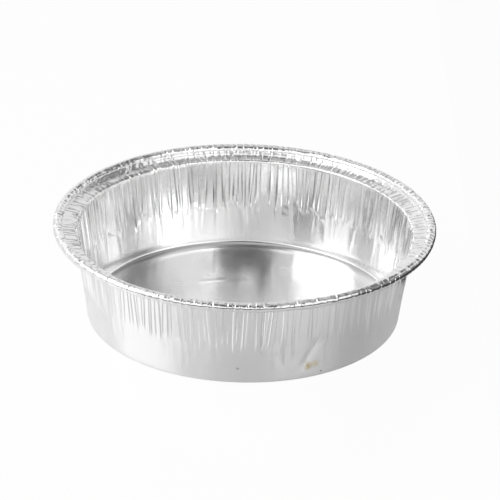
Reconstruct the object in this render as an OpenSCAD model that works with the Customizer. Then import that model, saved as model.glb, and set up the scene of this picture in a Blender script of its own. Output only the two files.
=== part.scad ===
// Foil pie tin: one disc of thin aluminium foil, pressed into a round pan.
// The foil gathers into pleats up the wall, runs out flat as a ledge and
// rolls over into a full curl at the rim. The tin stands on a narrow flat
// ring round its raised floor. The origin is at the middle of the base, at
// the height of the table. Lengths are in millimetres, angles in degrees.

/* [Pan] */
// Diameter over the foot of the wall
base_d = 150; // [130:1:155]
// Diameter at the top of the wall, where it turns into the ledge
mouth_d = 160.4; // [157:0.2:190]
// Height of the ledge's inner edge above the table
depth = 43.4; // [34:0.2:60]
// Thickness of the foil
foil_t = 0.1; // [0.08:0.01:0.2]

/* [Base] */
// Radius of the corner between the wall and the standing ring
corner_r = 1.8; // [1:0.1:4]
// Width of the flat ring that the tin stands on
ring_w = 4.6; // [2:0.1:7]
// Height of the floor above the standing ring
floor_rise = 0.8; // [0.3:0.1:2]
// Width of the slope between the standing ring and the floor
floor_slope_w = 0.8; // [0.4:0.1:3]

/* [Rim] */
// Width of the ledge, from the wall to the curl
ledge_w = 6.8; // [4:0.1:12]
// Rise of the ledge from the wall to the curl
ledge_rise = 1.1; // [0:0.1:3]
// Outer radius of the curl
curl_r = 2.35; // [1.5:0.05:4]
// How far below the level of its centre the curl leaves the ledge
curl_start = 45; // [20:1:60]
// Angle that the foil turns through in the curl
curl_turn = 315; // [240:5:330]

/* [Pleats] */
// Number of pleats round the wall, made even
pleats = 120; // [80:2:120]
// Depth of the deepest pleats, from ridge to valley
pleat_depth = 1.1; // [0.1:0.05:1.5]
// Height above the table at which the pleats fade into the smooth wall
pleat_foot = 19; // [12:0.5:28]
// Height above the table up to which the wall is smooth
smooth_top = 9; // [5:0.5:11]
// Depth of the soft ripples where the pleats run out
ripple_depth = 0.3; // [0:0.05:0.6]
// Depth of the ribs that the pleats leave across the ledge
rib_depth = 0.5; // [0:0.05:0.8]
// Depth of the pinches round the curl
pinch_depth = 0.5; // [0:0.05:0.7]
// Which of the chance patterns of pleats is drawn
pattern = 7; // [1:1:99]

/* [Hidden] */

// The wall, the ledge and the curl have a point on every ridge and in every
// valley. The base has a quarter as many, since no pleat reaches it.
points_per_base_point = 4;
base_n = round(2 * pleats / points_per_base_point);
fine_n = points_per_base_point * base_n;
curl_steps = 7;

// Chance values, one for each ridge or valley or for each point of the base
weakest_pleat = 0.4;
strongest_foot = 0.6;
side_drift = 0.28;
still_ridge_every = 30;
kinds_of_chance = 6;

function chance(kind, low, high, n) = rands(low, high, n, kinds_of_chance * pattern + kind);

strength = chance(0, weakest_pleat, 1, fine_n);
foot_strength = chance(1, 0, strongest_foot, fine_n);
top_drift = chance(2, -side_drift, side_drift, fine_n);
foot_drift = chance(3, -side_drift, side_drift, fine_n);
pinch_strength = chance(4, weakest_pleat, 1, fine_n);
ripple = chance(5, -1, 1, base_n);

// The profile runs along the middle of the foil
base_r = base_d / 2;
mouth_r = mouth_d / 2;
half_t = foil_t / 2;
floor_r = base_r - corner_r - ring_w - floor_slope_w;
wall_lean = atan((mouth_r - base_r) / (depth - corner_r));
corner_mid_r = corner_r - half_t;
curl_mid_r = curl_r - half_t;

function corner_at(angle) = [
    base_r - corner_r + corner_mid_r * cos(angle),
    corner_r + corner_mid_r * sin(angle)
];

wall_foot = corner_at(-wall_lean);
mouth = [mouth_r, depth];

function wall_at(z) = wall_foot + (mouth - wall_foot) * (z - wall_foot.y) / (mouth.y - wall_foot.y);

// Angles in the curl count from its inner side, over the top and outwards
curl_centre = mouth + [ledge_w, ledge_rise] + curl_mid_r * [cos(curl_start), sin(curl_start)];

function curl_at(angle) = curl_centre + curl_mid_r * [-cos(angle), sin(angle)];

base_profile = [
    [floor_r, floor_rise + half_t],
    [floor_r + floor_slope_w, half_t],
    [base_r - corner_r, half_t],
    corner_at(-(90 + wall_lean) / 2),
    wall_foot,
    wall_at(smooth_top)
];
wall_profile = [
    wall_at(pleat_foot),
    wall_at((pleat_foot + depth) / 2),
    mouth
];
curl_profile = [for (k = [0 : curl_steps]) curl_at(k * curl_turn / curl_steps - curl_start)];

profile = concat(base_profile, wall_profile, curl_profile);
last = len(profile) - 1;
ripple_row = len(base_profile) - 1;
foot_row = len(base_profile);
mouth_row = foot_row + len(wall_profile) - 1;
curl_row = mouth_row + 1;

// Directions across the foil, towards the underside and the outside
function across(from, to) = let (d = (to - from) / norm(to - from)) [d.y, -d.x];

function mitre(row) =
    let (
        before = row == 0 ? [0, -1] : across(profile[row - 1], profile[row]),
        after = row == last ? before : across(profile[row], profile[row + 1])
    )
    (before + after) / (1 + before * after);

mitres = [for (row = [0 : last]) mitre(row)];

// How far each point is pushed across the foil by a pleat, rib or pinch
function side(i) = i % 2 == 0 ? 1 : -1;

function push(row, i) =
    row < ripple_row ? 0
    : row == ripple_row ? ripple_depth / 2 * ripple[i]
    : row == foot_row ? side(i) * pleat_depth / 2 * strength[i] * foot_strength[i]
    : row < mouth_row ? side(i) * pleat_depth / 2 * strength[i]
    : row == mouth_row ? side(i) * (pleat_depth + rib_depth) / 4 * strength[i]
    : i % 2 == 0 ? 0
    : row == curl_row ? rib_depth * strength[i]
    : pinch_depth * pinch_strength[i];

// How far each point strays along the rim, as a share of the spacing. A few
// ridges stay put, which keeps the tin's width the same all round.
function drift(row, i) =
    row < foot_row || i % still_ridge_every == 0 ? 0
    : row == foot_row ? foot_drift[i]
    : top_drift[i];

function count(row) = row < foot_row ? base_n : fine_n;

function ring(row, skin) = [
    for (i = [0 : count(row) - 1])
        let (
            m = mitres[row],
            p = profile[row] + m / norm(m) * push(row, i) + m * skin * half_t,
            angle = 360 * (i + drift(row, i)) / count(row)
        )
        [p.x * cos(angle), p.x * sin(angle), p.y]
];

function skin_points(skin) = [for (row = [0 : last]) each ring(row, skin)];

// Numbering of the points of one skin, ring after ring
function first(row) = row <= foot_row ? row * base_n : foot_row * base_n + (row - foot_row) * fine_n;

skin_size = first(last + 1);

function at(row, i) = first(row) + i % count(row);

// Two triangles between neighbouring points of two rings with equal counts
function even_band(row) = [
    for (i = [0 : count(row) - 1])
        each [
            [at(row, i), at(row, i + 1), at(row + 1, i + 1)],
            [at(row, i), at(row + 1, i + 1), at(row + 1, i)]
        ]
];

// Fans between a ring of the base and the ring where the pleats begin
function widening_band(row) =
    let (
        k = points_per_base_point,
        half = k / 2
    )
    [
        for (i = [0 : base_n - 1])
            each concat(
                [for (j = [0 : half - 1]) [at(row, i), at(row + 1, k * i + j + 1), at(row + 1, k * i + j)]],
                [[at(row, i), at(row, i + 1), at(row + 1, k * i + half)]],
                [for (j = [half : k - 1]) [at(row, i + 1), at(row + 1, k * i + j + 1), at(row + 1, k * i + j)]]
            )
    ];

floor_face = [for (i = [base_n - 1 : -1 : 0]) at(0, i)];
upper_faces = [
    floor_face,
    for (row = [0 : last - 1])
        each (row == ripple_row ? widening_band(row) : even_band(row))
];

// The underside has the same faces, turned over
function turned(face) = [for (i = [len(face) - 1 : -1 : 0]) face[i] + skin_size];

under_faces = [for (face = upper_faces) turned(face)];

// The cut edge of the foil, inside the curl
edge_faces = [
    for (i = [0 : fine_n - 1])
        let (
            a = at(last, i),
            b = at(last, i + 1)
        )
        each [
            [a, b, b + skin_size],
            [a, b + skin_size, a + skin_size]
        ]
];

module foil_tin() {
    color("#d6d8da")
        polyhedron(
            points = concat(skin_points(-1), skin_points(1)),
            faces = concat(upper_faces, under_faces, edge_faces)
        );
}

foil_tin();
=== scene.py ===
import math
from collections import namedtuple

import bmesh
import bpy
import numpy as np
from mathutils import Matrix, Vector


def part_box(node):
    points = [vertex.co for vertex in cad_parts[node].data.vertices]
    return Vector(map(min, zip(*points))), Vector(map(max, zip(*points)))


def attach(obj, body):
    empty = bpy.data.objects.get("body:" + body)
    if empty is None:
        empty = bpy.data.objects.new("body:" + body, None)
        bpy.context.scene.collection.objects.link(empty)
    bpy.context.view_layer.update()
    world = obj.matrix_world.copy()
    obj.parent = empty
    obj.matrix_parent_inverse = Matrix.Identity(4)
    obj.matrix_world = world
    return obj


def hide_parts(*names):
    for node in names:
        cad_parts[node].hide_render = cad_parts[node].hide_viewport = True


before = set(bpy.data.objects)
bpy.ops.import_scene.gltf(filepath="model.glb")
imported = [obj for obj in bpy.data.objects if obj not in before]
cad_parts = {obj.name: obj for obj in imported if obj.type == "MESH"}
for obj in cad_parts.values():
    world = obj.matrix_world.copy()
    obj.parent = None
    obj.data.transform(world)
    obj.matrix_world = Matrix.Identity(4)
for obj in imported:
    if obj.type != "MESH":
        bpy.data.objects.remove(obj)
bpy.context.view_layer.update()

# A foil pie tin, pressed from one disc of thin aluminium foil. Lengths are in
# metres. +Z is up, the origin is under the middle of the base, and -Y faces
# the viewer.

_, tin_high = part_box("foil_tin")
MM = 0.001
TURN = 2 * math.pi

# Sizes of the pan. They run along the middle of the foil, but for the radii of
# the corner and the curl, which are those of its outside.
FOIL_T = 0.1 * MM
HALF_T = FOIL_T / 2
BASE_R = 75.0 * MM
MOUTH_R = 80.2 * MM
DEPTH = 43.4 * MM
CORNER_R = 1.8 * MM
RING_W = 4.6 * MM
FLOOR_RISE = 0.8 * MM
FLOOR_SLOPE_W = 0.8 * MM
LEDGE_SLOPE = 1.1 / 6.8
CURL_R = 2.35 * MM
FLOOR_EDGE_ROUND = 0.5 * MM
MOUTH_ROUND = 1.0 * MM
CURL_FILLET = 0.25 * MM
MERGE_REACH = HALF_T / 50

RIM_R = tin_high.x
RIM_TOP = tin_high.z
CURL_MID_R = CURL_R - HALF_T
CURL_CENTRE = Vector((RIM_R - CURL_R, RIM_TOP - CURL_R))
CURL_START = -30
CURL_END = 270
SEEN_CURL_END = 210
FLOOR_R = BASE_R - CORNER_R - RING_W - FLOOR_SLOPE_W

# How finely the foil is drawn. Each wrinkle has three columns of points, its
# two feet and its crest. The base has a quarter as many columns, and near it
# those of the wall settle evenly apart. The rows of the floor are shares of
# its radius, closest together where it is creased. Those of the wall have one
# spacing for the lines of the wrinkles and one for the folds below them.
WRINKLES = 240
COLUMNS = 3 * WRINKLES
BASE_CUTS = 3
BASE_COLUMNS = COLUMNS // (BASE_CUTS + 1)
FLOOR_ROWS = (
    0.04, 0.1, 0.18, 0.27, 0.36, 0.437, 0.454, 0.470, 0.486, 0.502, 0.518, 0.534, 0.550,
    0.66, 0.74, 0.8, 0.87, 0.94,
)
FLOOR_EDGE_STEPS = 2
CORNER_STEPS = 5
SMOOTH_BAND_TOP = 5 * MM
LINES_END = 0.36
FOLD_ROWS = 15
LINE_ROWS = 9
SETTLE_LENGTH = 0.25
MOUTH_STEPS = 3
LEDGE_STEPS = 5
FILLET_STEPS = 2
CURL_STEP = 20

# Edges that bend by more degrees than this are creases. A lower angle counts
# for those of the wrinkles, which reach down a share of the pan's depth and
# run down for most of their length.
CREASE_ANGLE = 30
WRINKLE_CREASE_ANGLE = 11
LOWEST_WRINKLE = 0.68
LEAST_DOWN = 0.8

# What is left to chance. A pair is the least and the most that chance gives,
# and lengths in a pair are in millimetres. Places on the wall are shares of
# the way down it, and strays round the tin are shares of the spacing. A swell
# is its waves round the tin and its size.
SEED = 5

# The narrow wrinkles: how they lie, how wide and high they are, and how they
# run out at their tips. They sway by an angle in radians.
PLACE_STRAY = (-0.33, 0.33)
STRONG_SHARE = 0.85
OUTWARD_SHARE = 0.35
ODD_LEAN_SHARE = 0.2
STEEP_FLANK_W = (0.34, 0.46)
GENTLE_FLANK_W = (0.42, 0.66)
WIDEST_FLANK = 0.42
STRONG_HEIGHT = (0.22, 0.38)
WEAK_HEIGHT = (0.03, 0.1)
STRONG_REACH = 0.57
REACH_STRAY = 0.04
WEAK_REACH = (0.3, 0.7)
WRINKLE_SLANT = (-0.35, 0.35)
SWAY = ((7, 11, 17, 26, 40), 0.055)
WANDER = 0.1
WANDER_RATE = 9
PANEL_TILT = (-0.028, 0.028)
TIP_LENGTH = 0.1
TIP_CURVE = 0.7
TIP_W = 0.2
TOP_W = 0.75
WIDENING = 0.4

# The steps where the panels between wrinkles turn into the ledge, and the
# ribs that the wrinkles leave across it
MOUTH_STEP = (-0.14, 0.14)
MOUTH_STEP_END = 0.07
LEDGE_STEP_END = 0.2
STRONG_RIB = (0.06, 0.18)
WEAK_RIB = (0, 0.05)
MIDDLE_RIB = 0.45
LEDGE_TILT = 0.5

# The pinches across the curl, and the cells of foil between them
PINCHES = COLUMNS // 2
PINCH_SHIFT = 0.25
PINCH_STRAY = (-0.3, 0.3)
PINCH_HALF_W = (0.14, 0.24)
PINCH_SLANT = (-0.4, 0.4)
CELL_DEPTH = 0.42 * MM
PRESSED_CELL = (0.4, 1)
RAISED_CELL = (0, 0.2)
CELL_TILT = (-0.06, 0.06)
CELL_RATE = (0.5, 2.5)
CELL_WAVE = 0.4
CURL_BLEND = 0.13
CURL_INSET = 0.07 * MM

# The broad folds below the wrinkles
FOLDS = 120
FOLD_STRAY = (-0.4, 0.4)
FOLD_SLANT = (-5, 5)
STEEP_SIDE_W = (0.9, 1.6)
SHALLOW_SIDE_W = (1.5, 2.8)
FOLD_HEIGHT = (0.05, 0.19)
FOLD_TOP = (0.35, 0.52)
FOLD_END = (0.84, 0.98)
FOLD_RISE = 0.2
FOLD_FALL = 0.3
FALL_CURVE = 0.8
FOLD_TIP_W = 0.4
CREST_SHARPNESS = 0.5

# The gentle swells, and the least and the most that one of their waves counts
WAVE_SHARE = (0.4, 1)
WALL_SWELL = ((3, 5, 8, 13, 21), 0.14 * MM)
FINE_SWELL = ((31, 47, 61), 0.045 * MM)
CURL_SWELL = ((4, 9, 17, 29, 43), 0.07 * MM)
FLOOR_SWELL = ((1, 2, 3), 0.09 * MM)
FLOOR_RIPPLE = ((2, 5), 0.05 * MM)

# The marks of use in the photograph, in millimetres: dents and creases as the line that they follow, how
# wide and how deep they are, and which way the foil gave; and spots as their place, size and colour. A dent
# ends at a few times its width from its line. The two pale spots are stains beside the long dent; the two
# dark ones are painted shade in the small pit and in the notch low on the front wall.
DENTS = (
    (((33.7, -69.4, 19.0), (28.5, -70.2, 7.9)), 1.7, 0.6, "inwards"),
    (((18.0, -75.6, 23.4), (18.4, -73.7, 9.6)), 0.6, 0.4, "inwards"),
    (((23.1, -73.7, 20.0), (23.4, -72.4, 10.4)), 0.6, 0.4, "inwards"),
    (((-1.9, -75.8, 8.4), (-1.9, -75.8, 7.7)), 0.55, 0.4, "inwards"),
    (((36.5, -65.7, 3.0), (36.5, -65.7, 2.6)), 0.6, 0.3, "inwards"),
    (((-20.5, 28.0, 0.85), (-10.5, 30.5, 0.85)), 1.1, 0.16, "down"),
    (((-10.5, 30.5, 0.85), (1.0, 32.5, 0.85)), 1.1, 0.16, "down"),
)
DENT_EDGE = 3
STAINS_AND_DENT_SHADE = (
    ((30.6, -69.2, 7.0), 2.6, "#d8c7a0"),
    ((33.6, -67.8, 7.6), 2.8, "#ebe3cb"),
    # Painted shade: dark grey that stands in for the shade in the pit and the notch
    ((-1.9, -75.8, 8.05), 0.8, "#505050"),
    ((36.5, -65.7, 2.8), 0.6, "#6e6a60"),
)

# How white the camera and the foil see the card under the tin, and how much
# of its light is a soft mirror image. The sides of the tent that lights the
# tin are given as direction, where the side begins and is full, and how
# bright it is: the left, high up at the back, the front, high up at the
# right, right above the tin, and a low strip all round. The dark sides, given
# with how dark they are, are the gap in the front that the camera looks
# through and the open end at the right. The window is a soft light near the
# tin. The card ends a little to the right of the tin, and the table goes on
# under it.
SEEN_WHITE = 0.95
MIRRORED_WHITE = 0.04
CARD_GLOSS = 0.21
CARD_ROUGHNESS = 0.28
CARD_W = 1.2
CARD_FRONT = -0.19
CARD_RIGHT = 0.115
CARD_T = 0.4 * MM
TABLE_W = 4
TABLE_WHITE = 0.975
TENT_BASE = 0.08
TENT_SIDES = (
    ((-0.88, -0.1, 0.45), 0.0, 1.1, 0.17),
    ((-0.35, 0.5, 0.79), 0.78, 0.98, 0.36),
    ((-0.05, -0.95, 0.3), 0.77, 0.86, 0.4),
    ((0.5, -0.58, 0.64), 0.84, 0.98, 0.6),
    ((0.05, 0.15, 0.98), 0.78, 0.95, 0.35),
    ((0, 0, -1), -0.68, -0.5, 0.76),
)
DARK_SIDES = (
    ((0, -0.77, 0.64), 0.92, 0.965, 0.85),
    ((0.98, 0.02, 0.2), 0.88, 0.95, 0.75),
)
WINDOW_PLACE = (-0.36, -0.10, 0.27)
WINDOW_SIZE = 0.34
WINDOW_POWER = 0.6

# The photograph's view: angles in degrees, but for the two small turns in
# radians, the distance in radii of the rim, and the lens in millimetres
CAMERA_ELEVATION = 26.92
CAMERA_DISTANCE = 14.76
CAMERA_ROLL = -1.245
TURN_ASIDE = -0.0021
TURN_UP = 0.0215
LENS_LENGTH = 200.4408
SENSOR_W = 36
CLIP_END = 10


# The profile of the pan, as rows of points: where a row is, the part of the
# pan that it belongs to, and its share of the way through that part
Row = namedtuple("Row", "r z zone share")


def rounded(before, corner, after, radius, steps):
    """Points of an arc that rounds the corner of a path."""
    to_before = (before - corner).normalized()
    to_after = (after - corner).normalized()
    half_angle = to_before.angle(to_after) / 2
    reach = radius / math.tan(half_angle)
    centre = corner + (to_before + to_after).normalized() * radius / math.sin(half_angle)
    start = corner + to_before * reach - centre
    turn = start.angle_signed(corner + to_after * reach - centre)
    return [centre + Matrix.Rotation(-turn * k / steps, 2) @ start for k in range(steps + 1)]


def curl_at(angle):
    """A point of the curl, with angles from its inner side, over the top and outwards."""
    a = math.radians(angle)
    return CURL_CENTRE + CURL_MID_R * Vector((-math.cos(a), math.sin(a)))


def profile():
    """Rows from the middle of the floor, up the wall and out over the rim, to the edge inside the curl."""
    floor_z = FLOOR_RISE + HALF_T
    middle = Vector((0, floor_z))
    floor_edge = Vector((FLOOR_R, floor_z))
    slope_foot = Vector((FLOOR_R + FLOOR_SLOPE_W, HALF_T))
    mouth = Vector((MOUTH_R, DEPTH))
    lean = math.atan2(MOUTH_R - BASE_R, DEPTH - CORNER_R)
    wall_foot = Vector((BASE_R - CORNER_R * math.tan(lean), HALF_T))
    curl_foot = curl_at(CURL_START)
    tangent = (curl_at(CURL_START + 1) - curl_foot).normalized()
    above_ledge = curl_foot.y - DEPTH - (curl_foot.x - MOUTH_R) * LEDGE_SLOPE
    down = above_ledge / (tangent.y - tangent.x * LEDGE_SLOPE)
    ledge_end = curl_foot - tangent * down

    rows = [Row(FLOOR_R * share, floor_z, "floor", share) for share in FLOOR_ROWS]

    def add(points, zone):
        for k, p in enumerate(points):
            rows.append(Row(p.x, p.y, zone, k / max(1, len(points) - 1)))

    add(rounded(middle, floor_edge, slope_foot, FLOOR_EDGE_ROUND, FLOOR_EDGE_STEPS), "base")
    add(rounded(floor_edge, slope_foot, wall_foot, FLOOR_EDGE_ROUND, FLOOR_EDGE_STEPS), "base")
    add(rounded(slope_foot, wall_foot, mouth, CORNER_R - HALF_T, CORNER_STEPS), "base")
    corner_top = Vector((rows[-1].r, rows[-1].z))
    mouth_arc = rounded(wall_foot, mouth, ledge_end, MOUTH_ROUND, MOUTH_STEPS)
    wall_top = mouth_arc[0]

    def on_wall(z):
        share = (z - corner_top.y) / (wall_top.y - corner_top.y)
        return Row(corner_top.x + (wall_top.x - corner_top.x) * share, z, "wall", 1 - share)

    rows.append(on_wall((corner_top.y + SMOOTH_BAND_TOP) / 2))
    folds_top = wall_top.y - (wall_top.y - corner_top.y) * LINES_END
    for k in range(FOLD_ROWS):
        rows.append(on_wall(SMOOTH_BAND_TOP + (folds_top - SMOOTH_BAND_TOP) * k / FOLD_ROWS))
    for k in range(LINE_ROWS):
        rows.append(on_wall(folds_top + (wall_top.y - folds_top) * k / LINE_ROWS))
    add(mouth_arc, "mouth")
    ledge_arc = rounded(mouth, ledge_end, curl_foot, CURL_FILLET, FILLET_STEPS)
    ledge_run = [mouth_arc[-1].lerp(ledge_arc[0], k / LEDGE_STEPS) for k in range(1, LEDGE_STEPS)]
    add(ledge_run + ledge_arc, "ledge")
    seen_angles = list(range(CURL_START, SEEN_CURL_END + 1, CURL_STEP))
    for angle in seen_angles + [(SEEN_CURL_END + CURL_END) / 2, CURL_END]:
        p = curl_at(angle)
        rows.append(Row(p.x, p.y, "curl", (angle - CURL_START) / (CURL_END - CURL_START)))
    return rows


# Modelling with Blender's own tools

def select_only(piece):
    bpy.ops.object.select_all(action="DESELECT")
    piece.select_set(True)
    bpy.context.view_layer.objects.active = piece


def press_blank(rows):
    """A circle, extruded edge by edge along the profile, with its middle closed to a pole."""
    bpy.ops.object.select_all(action="DESELECT")
    bpy.ops.mesh.primitive_circle_add(vertices=BASE_COLUMNS, radius=rows[0].r, fill_type="NOTHING",
                                      location=(0, 0, rows[0].z))
    blank = bpy.context.object
    blank.name = "pressed_foil"
    bpy.ops.object.transform_apply(location=True)
    bpy.ops.object.mode_set(mode="EDIT")
    bpy.ops.mesh.select_mode(type="EDGE")
    bpy.ops.mesh.select_all(action="SELECT")
    for before, row in zip(rows, rows[1:]):
        bpy.ops.mesh.extrude_edges_move(TRANSFORM_OT_translate={"value": (0, 0, row.z - before.z)})
        growth = row.r / before.r
        bpy.ops.transform.resize(value=(growth, growth, 1), center_override=(0, 0, row.z))
        if before.z < SMOOTH_BAND_TOP <= row.z and row.zone == "wall":
            bpy.ops.mesh.subdivide(number_cuts=BASE_CUTS)
    close_floor(blank, rows[0].r)
    bpy.ops.object.mode_set(mode="OBJECT")
    return blank


def close_floor(blank, hole_r):
    """Draws the innermost ring of points in to one pole."""
    bpy.ops.mesh.select_all(action="DESELECT")
    shape = bmesh.from_edit_mesh(blank.data)
    for edge in shape.edges:
        if edge.is_boundary and all(v.co.xy.length < hole_r + HALF_T for v in edge.verts):
            edge.select_set(True)
    bmesh.update_edit_mesh(blank.data)
    bpy.ops.mesh.extrude_edges_move()
    bpy.ops.mesh.merge(type="CENTER")


def finish_foil(piece):
    """Gives the pressed sheet its thickness, with creases sharp and the rest smooth."""
    select_only(piece)
    bpy.ops.object.mode_set(mode="EDIT")
    bpy.ops.mesh.select_all(action="SELECT")
    bpy.ops.mesh.remove_doubles(threshold=MERGE_REACH)
    bpy.ops.mesh.normals_make_consistent(inside=False)
    bpy.ops.object.mode_set(mode="OBJECT")
    gauge = piece.modifiers.new("gauge", "SOLIDIFY")
    gauge.thickness = FOIL_T
    gauge.offset = 0
    bpy.ops.object.modifier_apply(modifier=gauge.name)
    bpy.ops.object.shade_smooth_by_angle(angle=math.radians(CREASE_ANGLE))
    sharpen_wrinkles(piece)


def sharpen_wrinkles(piece):
    """Marks the creases that run down the upper wall and across the rim as sharp, shallow ones too."""
    wrinkle_foot = DEPTH * (1 - LOWEST_WRINKLE)
    bpy.ops.object.mode_set(mode="EDIT")
    bpy.ops.mesh.select_all(action="DESELECT")
    bpy.ops.mesh.edges_select_sharp(sharpness=math.radians(WRINKLE_CREASE_ANGLE))
    shape = bmesh.from_edit_mesh(piece.data)
    for edge in shape.edges:
        if edge.select:
            a, b = (v.co for v in edge.verts)
            down = math.hypot(a.xy.length - b.xy.length, a.z - b.z)
            if min(a.z, b.z) < wrinkle_foot or down < (a - b).length * LEAST_DOWN:
                edge.select_set(False)
    bmesh.update_edit_mesh(piece.data)
    bpy.ops.mesh.mark_sharp()
    bpy.ops.object.mode_set(mode="OBJECT")


# Where the foil goes when it is pressed

def normals_of(rows):
    """Unit directions across the foil, towards the underside, one for each row."""
    path = np.array([(row.r, row.z) for row in rows])
    along = np.gradient(path, axis=0)
    along /= np.linalg.norm(along, axis=1)[:, None]
    return np.column_stack([along[:, 1], -along[:, 0]])


class Wrinkles:
    """The narrow wrinkles, which run down the wall and across the ledge, in their chance sizes."""

    def __init__(self, rng):
        n = WRINKLES
        pitch = TURN / n

        def spread(pair):
            return rng.uniform(*pair, n)

        self.strong = rng.random(n) < STRONG_SHARE
        self.place = (np.arange(n) + spread(PLACE_STRAY)) * pitch
        gap_after = np.diff(np.append(self.place, self.place[0] + TURN))
        gap_before = np.roll(gap_after, 1)
        narrowest = np.minimum(gap_before, gap_after)
        self.sign = np.where(rng.random(n) < OUTWARD_SHARE, 1, -1)
        steep_w = spread(STEEP_FLANK_W) * MM / MOUTH_R
        gentle_w = spread(GENTLE_FLANK_W) * MM / MOUTH_R
        leans_left = (self.sign > 0) != (rng.random(n) < ODD_LEAN_SHARE)
        self.left_w = np.minimum(np.where(leans_left, steep_w, gentle_w), WIDEST_FLANK * gap_before)
        self.right_w = np.minimum(np.where(leans_left, gentle_w, steep_w), WIDEST_FLANK * gap_after)
        self.height = self.sign * np.where(self.strong, spread(STRONG_HEIGHT), spread(WEAK_HEIGHT)) * MM
        self.reach = np.where(self.strong, rng.normal(STRONG_REACH, REACH_STRAY, n), spread(WEAK_REACH))
        self.slant = spread(WRINKLE_SLANT) * narrowest
        self.sway = swell(rng, *SWAY)
        self.left_tilt = spread(PANEL_TILT) * MM
        self.right_tilt = spread(PANEL_TILT) * MM
        self.mouth_step = spread(MOUTH_STEP) * MM
        self.wander_phase = spread((0, TURN))
        self.rib = self.sign * np.where(self.strong, spread(STRONG_RIB), spread(WEAK_RIB)) * MM

    def columns(self, crest, narrowing=1.0, relaxed=0.0):
        """Angles of the three columns of each wrinkle, drawn evenly apart where it is relaxed."""
        even_w = TURN / COLUMNS
        left_w = self.left_w * narrowing * (1 - relaxed) + even_w * relaxed
        right_w = self.right_w * narrowing * (1 - relaxed) + even_w * relaxed
        return np.column_stack([crest - left_w, crest, crest + right_w]).ravel()

    def heights(self, left, crest, right):
        """One height for each column, from those of the feet and the crests."""
        return np.column_stack(np.broadcast_arrays(left, crest, right)).ravel()

    def on_wall(self, t):
        """Angles and heights of the columns at a share t of the way down the wall."""
        run_out = np.clip((self.reach - t) / TIP_LENGTH, 0, 1) ** TIP_CURVE
        wander = WANDER * self.left_w * np.sin(WANDER_RATE * t + self.wander_phase)
        crest = self.place + (self.slant + self.sway(self.place)) * t + wander
        relaxed = np.clip((t - self.reach) / TIP_LENGTH, 0, 1)
        width = TOP_W + WIDENING * np.clip(t / self.reach, 0, 1)
        angles = self.columns(crest, width * (TIP_W + (1 - TIP_W) * run_out), relaxed)
        heights = self.heights(self.left_tilt * run_out, self.height * run_out, self.right_tilt * run_out)
        return angles, heights

    def at_mouth(self):
        """Each panel between two wrinkles turns into the ledge a little further in or out than the next."""
        return self.heights(np.roll(self.mouth_step, 1), 0, self.mouth_step)

    def on_ledge(self, share):
        """Ribs that are deepest at the two edges of the ledge."""
        fade = MIDDLE_RIB + (1 - MIDDLE_RIB) * abs(2 * share - 1)
        angles = self.columns(self.place)
        heights = self.heights(LEDGE_TILT * self.left_tilt, self.rib * fade, LEDGE_TILT * self.right_tilt)
        return angles, heights


class Pinches:
    """The narrow steps across the curl, and the cells of foil between them, pressed in by turns."""

    def __init__(self, rng):
        n = PINCHES
        self.place = (np.arange(n) - PINCH_SHIFT + rng.uniform(*PINCH_STRAY, n)) * TURN / n
        self.half_w = rng.uniform(*PINCH_HALF_W, n) * MM / RIM_R
        self.slant = rng.uniform(*PINCH_SLANT, n) * MM / RIM_R
        pressed = rng.uniform(*PRESSED_CELL, n)
        raised = rng.uniform(*RAISED_CELL, n)
        self.depth = np.where(np.arange(n) % 2 == 1, pressed, raised) * CELL_DEPTH
        self.tilt = rng.uniform(*CELL_TILT, n) * MM
        self.rate = rng.uniform(*CELL_RATE, n)
        self.phase = rng.uniform(0, TURN, n)

    def on_curl(self, share):
        """Angles and depths of the columns; a cell is as deep at its two sides, but for its tilt."""
        turn = math.radians(CURL_END - CURL_START) * share
        place = self.place + self.slant * math.sin(turn)
        cell = self.depth * (1 - CELL_WAVE + CELL_WAVE * np.sin(self.rate * turn + self.phase))
        angles = np.column_stack([place - self.half_w, place + self.half_w]).ravel()
        depths = np.column_stack([np.roll(cell + self.tilt, 1), cell - self.tilt]).ravel()
        return angles, depths


class Folds:
    """The broad soft folds below the narrow wrinkles, each with one steep side and one shallow side."""

    def __init__(self, rng):
        n = FOLDS
        self.place = (np.arange(n) + rng.uniform(*FOLD_STRAY, n)) * TURN / n
        self.slant = rng.uniform(*FOLD_SLANT, n) * MM / BASE_R
        self.steep_w = rng.uniform(*STEEP_SIDE_W, n) * MM / BASE_R
        self.shallow_w = rng.uniform(*SHALLOW_SIDE_W, n) * MM / BASE_R
        self.flip = rng.random(n) < 0.5
        sign = np.where(rng.random(n) < 0.5, 1, -1)
        self.height = sign * rng.uniform(*FOLD_HEIGHT, n) * MM
        self.top = rng.uniform(*FOLD_TOP, n)
        self.end = rng.uniform(*FOLD_END, n)

    def heights(self, angles, t):
        """How far the folds push the foil at some angles, a share t of the way down the wall."""
        depth = np.zeros_like(angles)
        rise = np.clip((t - self.top) / FOLD_RISE, 0, 1)
        fall = np.clip((self.end - t) / FOLD_FALL, 0, 1)
        envelope = rise * rise * (3 - 2 * rise) * fall ** FALL_CURVE
        for k in np.nonzero(envelope)[0]:
            middle = self.place[k] + self.slant[k] * (t - self.top[k])
            away = (angles - middle + math.pi) % TURN - math.pi
            left, right = self.shallow_w[k], self.steep_w[k]
            if self.flip[k]:
                left, right = right, left
            side = np.where(away < 0, -away / left, away / right)
            u = np.clip(side / (FOLD_TIP_W + (1 - FOLD_TIP_W) * fall[k]), 0, 1)
            ridge = CREST_SHARPNESS * (1 - u) + (1 - CREST_SHARPNESS) * (1 - u) ** 2 * (1 + 2 * u)
            depth += self.height[k] * envelope[k] * ridge
        return depth


def swell(rng, waves, size):
    """A gentle wave round the tin, as a function of the angle."""
    parts = [(n, rng.uniform(*WAVE_SHARE), rng.uniform(0, TURN)) for n in waves]
    total = sum(a for _, a, _ in parts)
    return lambda angle: size / total * sum(a * np.sin(n * angle + phase) for n, a, phase in parts)


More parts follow.
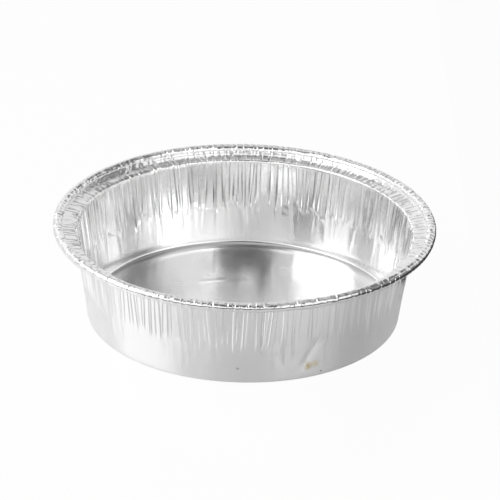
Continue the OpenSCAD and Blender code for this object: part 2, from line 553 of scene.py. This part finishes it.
class Press:
    """The dies of the press: where each row of the blank ends up, with the chance of the foil in it."""

    def __init__(self, rows):
        rng = np.random.default_rng(SEED)
        self.wrinkles = Wrinkles(rng)
        self.folds = Folds(rng)
        self.pinches = Pinches(rng)
        self.wall_swell = swell(rng, *WALL_SWELL)
        self.fine_swell = swell(rng, *FINE_SWELL)
        self.curl_swell = swell(rng, *CURL_SWELL)
        self.floor_swell = swell(rng, *FLOOR_SWELL)
        self.floor_ripple = swell(rng, *FLOOR_RIPPLE)
        self.across = normals_of(rows)

    def wall(self, t, even):
        """The wall, with the wrinkles high up and the folds below; its columns stand even at the foot."""
        angles, lift = self.wrinkles.on_wall(t)
        angles = even + (angles - even) * min(1, (1 - t) / SETTLE_LENGTH)
        calm_ends = min(1, 3 * t * (1 - t))
        lift = lift + self.folds.heights(angles, t) + self.fine_swell(angles) * calm_ends
        return angles, lift + self.wrinkles.at_mouth() * max(0, 1 - t / MOUTH_STEP_END)

    def mouth(self, share):
        """The round between the wall and the ledge, where the wrinkles turn into ribs."""
        angles, lift = self.wrinkles.on_wall(0)
        _, ledge_lift = self.wrinkles.on_ledge(0)
        return angles, lift + (ledge_lift - lift) * share + self.wrinkles.at_mouth()

    def ledge(self, share):
        """The ledge, whose panels are level with each other again a little way out."""
        angles, lift = self.wrinkles.on_ledge(share)
        return angles, lift + self.wrinkles.at_mouth() * max(0, 1 - share / LEDGE_STEP_END)

    def curl(self, share):
        """The curl, whose own pinches take over from the ribs near the ledge."""
        ledge_angles, ledge_lift = self.wrinkles.on_ledge(1)
        angles, lift = self.pinches.on_curl(share)
        turned = min(1, share / CURL_BLEND)
        angles = ledge_angles + (angles - ledge_angles) * turned
        lift = ledge_lift + (lift + self.curl_swell(angles) + CURL_INSET - ledge_lift) * turned
        return angles, np.maximum(0, lift) if share else lift

    def pressed(self, k, row, even):
        """Angles, radii and heights of the columns in a row."""
        angles, lift = even, np.zeros(len(even))
        if len(even) == COLUMNS and row.zone == "wall":
            angles, lift = self.wall(row.share, even)
        elif row.zone == "mouth":
            angles, lift = self.mouth(row.share)
        elif row.zone == "ledge":
            angles, lift = self.ledge(row.share)
        elif row.zone == "curl":
            angles, lift = self.curl(row.share)
        if row.zone == "wall":
            lift = lift + self.wall_swell(angles) * math.sin(math.pi * min(1, 1 - row.share)) ** 0.5
        r = row.r + self.across[k][0] * lift
        z = row.z + self.across[k][1] * lift
        if row.zone == "floor":
            calm = 1 - (row.r / FLOOR_R) ** 4
            uneven = self.floor_swell(angles) * row.share + self.floor_ripple(angles) * row.share ** 2
            z = z + calm * uneven
        return angles, r, z


def nearest_rows(points, rows):
    """The row that each point of the blank belongs to."""
    path = np.array([(row.r, row.z) for row in rows])
    radius = np.hypot(points[:, 0], points[:, 1])
    nearest = np.empty(len(points), dtype=int)
    batch = 4096
    for start in range(0, len(points), batch):
        part = slice(start, start + batch)
        gap = np.hypot(radius[part, None] - path[None, :, 0], points[part, None, 2] - path[None, :, 1])
        nearest[part] = np.argmin(gap, axis=1)
    nearest[radius <= rows[0].r / 2] = -1
    return nearest


def press(blank, rows):
    """Moves every point of the blank, but the pole of the floor, to where the press leaves it."""
    dies = Press(rows)
    points = np.empty(len(blank.data.vertices) * 3)
    blank.data.vertices.foreach_get("co", points)
    points = points.reshape(-1, 3)
    angle = np.arctan2(points[:, 1], points[:, 0]) % TURN
    nearest = nearest_rows(points, rows)
    for k, row in enumerate(rows):
        here = np.nonzero(nearest == k)[0]
        count = COLUMNS if len(here) > BASE_COLUMNS else BASE_COLUMNS
        even = np.arange(count) * TURN / count
        angles, r, z = dies.pressed(k, row, even)
        column = np.rint(angle[here] / TURN * count).astype(int) % count
        points[here, 0] = (r * np.cos(angles))[column]
        points[here, 1] = (r * np.sin(angles))[column]
        points[here, 2] = (z + np.zeros(count))[column]
    blank.data.vertices.foreach_set("co", points.ravel())
    blank.data.update()


def dent(blank):
    """Presses the marks of use into the foil, deepest along their line and fading to the sides."""
    for point in blank.data.vertices:
        for (start, end), width, depth, way in DENTS:
            a = Vector(start) * MM
            b = Vector(end) * MM
            along = min(1, max(0, (point.co - a).dot(b - a) / (b - a).length_squared))
            away = (point.co - a.lerp(b, along)).length / (width * MM)
            if away < DENT_EDGE:
                inwards = Vector((-point.co.x, -point.co.y, 0)).normalized()
                give = inwards if way == "inwards" else Vector((0, 0, -1))
                point.co += give * depth * MM * math.exp(-away * away)


def make_tin():
    """The whole tin as one sheet of foil, pressed, dented and given its thickness."""
    rows = profile()
    tin = press_blank(rows)
    press(tin, rows)
    dent(tin)
    finish_foil(tin)
    tin.name = "pressed_foil_tin"
    return tin


# Materials

def linear(hex_colour):
    """An sRGB hex value as linear colour."""
    channels = [int(hex_colour[k:k + 2], 16) / 255 for k in (1, 3, 5)]
    return [c / 12.92 if c <= 0.04045 else ((c + 0.055) / 1.055) ** 2.4 for c in channels] + [1]


def add_node(tree, kind, inputs=None, **settings):
    """A node with its settings; an input is a value, or another node's output to link."""
    node = tree.nodes.new(kind)
    for name, value in settings.items():
        setattr(node, name, value)
    for name, value in (inputs or {}).items():
        if isinstance(value, bpy.types.NodeSocket):
            tree.links.new(value, node.inputs[name])
        else:
            node.inputs[name].default_value = value
    return node


def new_material(name):
    material = bpy.data.materials.new(name)
    material.use_nodes = True
    tree = material.node_tree
    tree.nodes.clear()
    output = add_node(tree, "ShaderNodeOutputMaterial")
    return material, tree, output


def rolled_aluminium_foil():
    """Aluminium foil, cold rolled between polished steel rolls: nearly a mirror, blurred a little
    along faint parallel lines that the rolls leave, and dulled in patches where it was worked.
    The floor, which the press rubs flat, is the dullest."""
    material, tree, output = new_material("rolled_aluminium_foil")
    place = add_node(tree, "ShaderNodeTexCoord").outputs["Object"]

    # Real roll lines are finer, and are drawn this coarse so that they show
    line_spacing = 0.5 * MM
    line_length = 40 * MM
    line_depth = 0.004 * MM
    along_lines = add_node(tree, "ShaderNodeMapping", {
        "Vector": place,
        "Scale": (1 / line_spacing, 1 / line_length, 1 / line_spacing),
    })
    lines = add_node(tree, "ShaderNodeTexNoise", {
        "Vector": along_lines.outputs["Vector"],
        "Scale": 1.0,
        "Detail": 3.0,
    })
    roll_lines = add_node(tree, "ShaderNodeBump", {
        "Height": lines.outputs["Fac"],
        "Strength": 0.25,
        "Distance": line_depth,
    })

    # Crinkles that are too small to be in the shape of the foil
    crinkle_size = 2.2 * MM
    crinkle_depth = 0.03 * MM
    crinkles = add_node(tree, "ShaderNodeTexNoise", {
        "Vector": place,
        "Scale": 1 / crinkle_size,
        "Detail": 2.0,
    })
    surface = add_node(tree, "ShaderNodeBump", {
        "Height": crinkles.outputs["Fac"],
        "Strength": 0.5,
        "Distance": crinkle_depth,
        "Normal": roll_lines.outputs["Normal"],
    })

    # Patches that are duller than the rest, and the rubbed floor
    patch_size = 14 * MM
    bright_roughness = 0.14
    dull_roughness = 0.2
    rubbed_roughness = 0.08
    rubbed_below = 1.2 * MM
    unrubbed_above = 2.5 * MM
    patches = add_node(tree, "ShaderNodeTexNoise", {
        "Vector": place,
        "Scale": 1 / patch_size,
        "Detail": 2.0,
    })
    dulled = add_node(tree, "ShaderNodeMapRange", {
        "Value": patches.outputs["Fac"],
        "From Min": 0.3,
        "From Max": 0.7,
        "To Min": bright_roughness,
        "To Max": dull_roughness,
    })
    height = add_node(tree, "ShaderNodeSeparateXYZ", {"Vector": place})
    rubbed = add_node(tree, "ShaderNodeMapRange", {
        "Value": height.outputs["Z"],
        "From Min": rubbed_below,
        "From Max": unrubbed_above,
        "To Min": rubbed_roughness,
        "To Max": 0.0,
    })
    roughness = add_node(tree, "ShaderNodeMath", {
        0: dulled.outputs["Result"],
        1: rubbed.outputs["Result"],
    }, operation="ADD").outputs[0]

    # Spots with frayed edges: two stains, and painted shade in the pit and the notch
    fray_size = 1.1 * MM
    spot_roughness = 0.15
    full_within = 0.6
    gone_beyond = 1.5
    fraying = add_node(tree, "ShaderNodeTexNoise", {
        "Vector": place,
        "Scale": 1 / fray_size,
        "Detail": 2.0,
    })
    colour = linear("#f5f5f5")
    for centre, size, stain_and_shade_colour in STAINS_AND_DENT_SHADE:
        away = add_node(tree, "ShaderNodeVectorMath", {
            0: place,
            1: Vector(centre) * MM,
        }, operation="DISTANCE")
        frayed = add_node(tree, "ShaderNodeMath", {
            0: fraying.outputs["Fac"],
            1: size * MM,
            2: away.outputs["Value"],
        }, operation="MULTIPLY_ADD")
        spot = add_node(tree, "ShaderNodeMapRange", {
            "Value": frayed.outputs[0],
            "From Min": full_within * size * MM,
            "From Max": gone_beyond * size * MM,
            "To Min": 1.0,
            "To Max": 0.0,
        }).outputs["Result"]
        colour = add_node(tree, "ShaderNodeMix", {
            0: spot,
            6: colour,
            7: linear(stain_and_shade_colour),
        }, data_type="RGBA").outputs[2]
        roughness = add_node(tree, "ShaderNodeMath", {
            0: spot,
            1: spot_roughness,
            2: roughness,
        }, operation="MULTIPLY_ADD").outputs[0]

    shader = add_node(tree, "ShaderNodeBsdfPrincipled", {
        "Base Color": colour,
        "Metallic": 1.0,
        "Roughness": roughness,
        "Normal": surface.outputs["Normal"],
    })
    tree.links.new(shader.outputs["BSDF"], output.inputs["Surface"])
    return material


def coated_card():
    """White card with a satin coating. The camera and the foil see a share of it as plain white,
    and the rest keeps the tin's shadow."""
    material, tree, output = new_material("satin_coated_white_card")
    fibres = add_node(tree, "ShaderNodeBsdfDiffuse", {"Color": linear("#fafafa")})
    coating = add_node(tree, "ShaderNodeBsdfAnisotropic", {
        "Color": linear("#ffffff"),
        "Roughness": CARD_ROUGHNESS,
    })
    card = add_node(tree, "ShaderNodeMixShader", {
        0: CARD_GLOSS,
        1: fibres.outputs[0],
        2: coating.outputs[0],
    })
    white = add_node(tree, "ShaderNodeEmission", {"Color": linear("#ffffff"), "Strength": 1.0})
    ray = add_node(tree, "ShaderNodeLightPath")
    seen = add_node(tree, "ShaderNodeMath", {
        0: ray.outputs["Is Camera Ray"],
        1: SEEN_WHITE,
    }, operation="MULTIPLY")
    mirrored = add_node(tree, "ShaderNodeMath", {
        0: ray.outputs["Is Glossy Ray"],
        1: MIRRORED_WHITE,
    }, operation="MULTIPLY")
    share = add_node(tree, "ShaderNodeMath", {
        0: seen.outputs[0],
        1: mirrored.outputs[0],
    }, operation="ADD")
    mixed = add_node(tree, "ShaderNodeMixShader", {
        0: share.outputs[0],
        1: card.outputs[0],
        2: white.outputs[0],
    })
    tree.links.new(mixed.outputs[0], output.inputs["Surface"])
    return material


def dark_table():
    """The dark table round the card, which only the foil and the card see; to the camera it is white."""
    material, tree, output = new_material("dark_painted_table")
    paint = add_node(tree, "ShaderNodeBsdfDiffuse", {"Color": linear("#505050")})
    white = add_node(tree, "ShaderNodeEmission", {
        "Color": linear("#ffffff"),
        "Strength": TABLE_WHITE,
    })
    ray = add_node(tree, "ShaderNodeLightPath")
    mixed = add_node(tree, "ShaderNodeMixShader", {
        0: ray.outputs["Is Camera Ray"],
        1: paint.outputs[0],
        2: white.outputs[0],
    })
    tree.links.new(mixed.outputs[0], output.inputs["Surface"])
    return material


# Studio

def light_room():
    """A tent that is white low down all round, with brighter panels and two dark sides. The camera
    sees it as plain white."""
    world = bpy.data.worlds.new("white_tent")
    bpy.context.scene.world = world
    world.use_nodes = True
    tree = world.node_tree
    tree.nodes.clear()
    direction = add_node(tree, "ShaderNodeTexCoord").outputs["Generated"]

    def side(toward, low, high, strength):
        facing = add_node(tree, "ShaderNodeVectorMath", {
            0: direction,
            1: Vector(toward).normalized(),
        }, operation="DOT_PRODUCT")
        return add_node(tree, "ShaderNodeMapRange", {
            "Value": facing.outputs["Value"],
            "From Min": low,
            "From Max": high,
            "To Min": 0.0,
            "To Max": strength,
        }, interpolation_type="SMOOTHSTEP").outputs["Result"]

    level = TENT_BASE
    for panel in TENT_SIDES:
        level = add_node(tree, "ShaderNodeMath", {
            0: side(*panel),
            1: level,
        }, operation="ADD").outputs[0]
    for gap in DARK_SIDES:
        kept = add_node(tree, "ShaderNodeMath", {
            0: 1.0,
            1: side(*gap),
        }, operation="SUBTRACT")
        level = add_node(tree, "ShaderNodeMath", {
            0: level,
            1: kept.outputs[0],
        }, operation="MULTIPLY").outputs[0]
    tent = add_node(tree, "ShaderNodeBackground", {"Color": linear("#ffffff"), "Strength": level})
    white = add_node(tree, "ShaderNodeBackground", {"Color": linear("#ffffff"), "Strength": 1.0})
    ray = add_node(tree, "ShaderNodeLightPath")
    seen = add_node(tree, "ShaderNodeMixShader", {
        0: ray.outputs["Is Camera Ray"],
        1: tent.outputs[0],
        2: white.outputs[0],
    })
    output = add_node(tree, "ShaderNodeOutputWorld")
    tree.links.new(seen.outputs[0], output.inputs["Surface"])


def hang_window_light():
    """A soft square light near the tin at the left, which makes the card brightest on that side."""
    bpy.ops.object.select_all(action="DESELECT")
    bpy.ops.object.light_add(type="AREA", location=WINDOW_PLACE)
    window = bpy.context.object
    window.name = "window_light"
    window.data.size = WINDOW_SIZE
    window.data.energy = WINDOW_POWER
    window.visible_camera = False
    window.rotation_euler = (-Vector(WINDOW_PLACE)).to_track_quat("-Z", "Y").to_euler()


def lay_flat(name, size, place, material):
    bpy.ops.object.select_all(action="DESELECT")
    bpy.ops.mesh.primitive_plane_add(size=size, location=place)
    sheet = bpy.context.object
    sheet.name = name
    sheet.data.materials.append(material)


def place_camera():
    """The photograph's view: from a little above, level to about a degree, through a long lens."""
    elevation = math.radians(CAMERA_ELEVATION)
    distance = CAMERA_DISTANCE * RIM_R
    place = Vector((0, -distance * math.cos(elevation), distance * math.sin(elevation)))
    ahead = -place.normalized()
    right = Vector((1, 0, 0))
    up = right.cross(ahead)
    aside = Matrix.Rotation(TURN_ASIDE, 3, up)
    ahead, right = aside @ ahead, aside @ right
    tilt = Matrix.Rotation(TURN_UP, 3, right)
    ahead, up = tilt @ ahead, tilt @ up
    lean = Matrix.Rotation(math.radians(CAMERA_ROLL), 3, ahead)
    right, up = lean @ right, lean @ up
    bpy.ops.object.camera_add(location=place)
    camera = bpy.context.object
    camera.matrix_world = Matrix.Translation(place) @ Matrix((right, up, -ahead)).transposed().to_4x4()
    camera.data.sensor_width = SENSOR_W
    camera.data.lens = LENS_LENGTH
    camera.data.clip_end = CLIP_END
    bpy.context.scene.camera = camera


tin = make_tin()
foil = rolled_aluminium_foil()
tin.data.materials.clear()
tin.data.materials.append(foil)
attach(tin, "root")
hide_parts("foil_tin")
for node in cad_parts.values():
    node.data.materials.clear()
    node.data.materials.append(foil)

lay_flat("card", CARD_W, (CARD_RIGHT - CARD_W / 2, CARD_FRONT + CARD_W / 2, 0), coated_card())
lay_flat("table", TABLE_W, (0, 0, -CARD_T), dark_table())
light_room()
hang_window_light()
place_camera()
bpy.context.scene.view_settings.view_transform = "Standard"
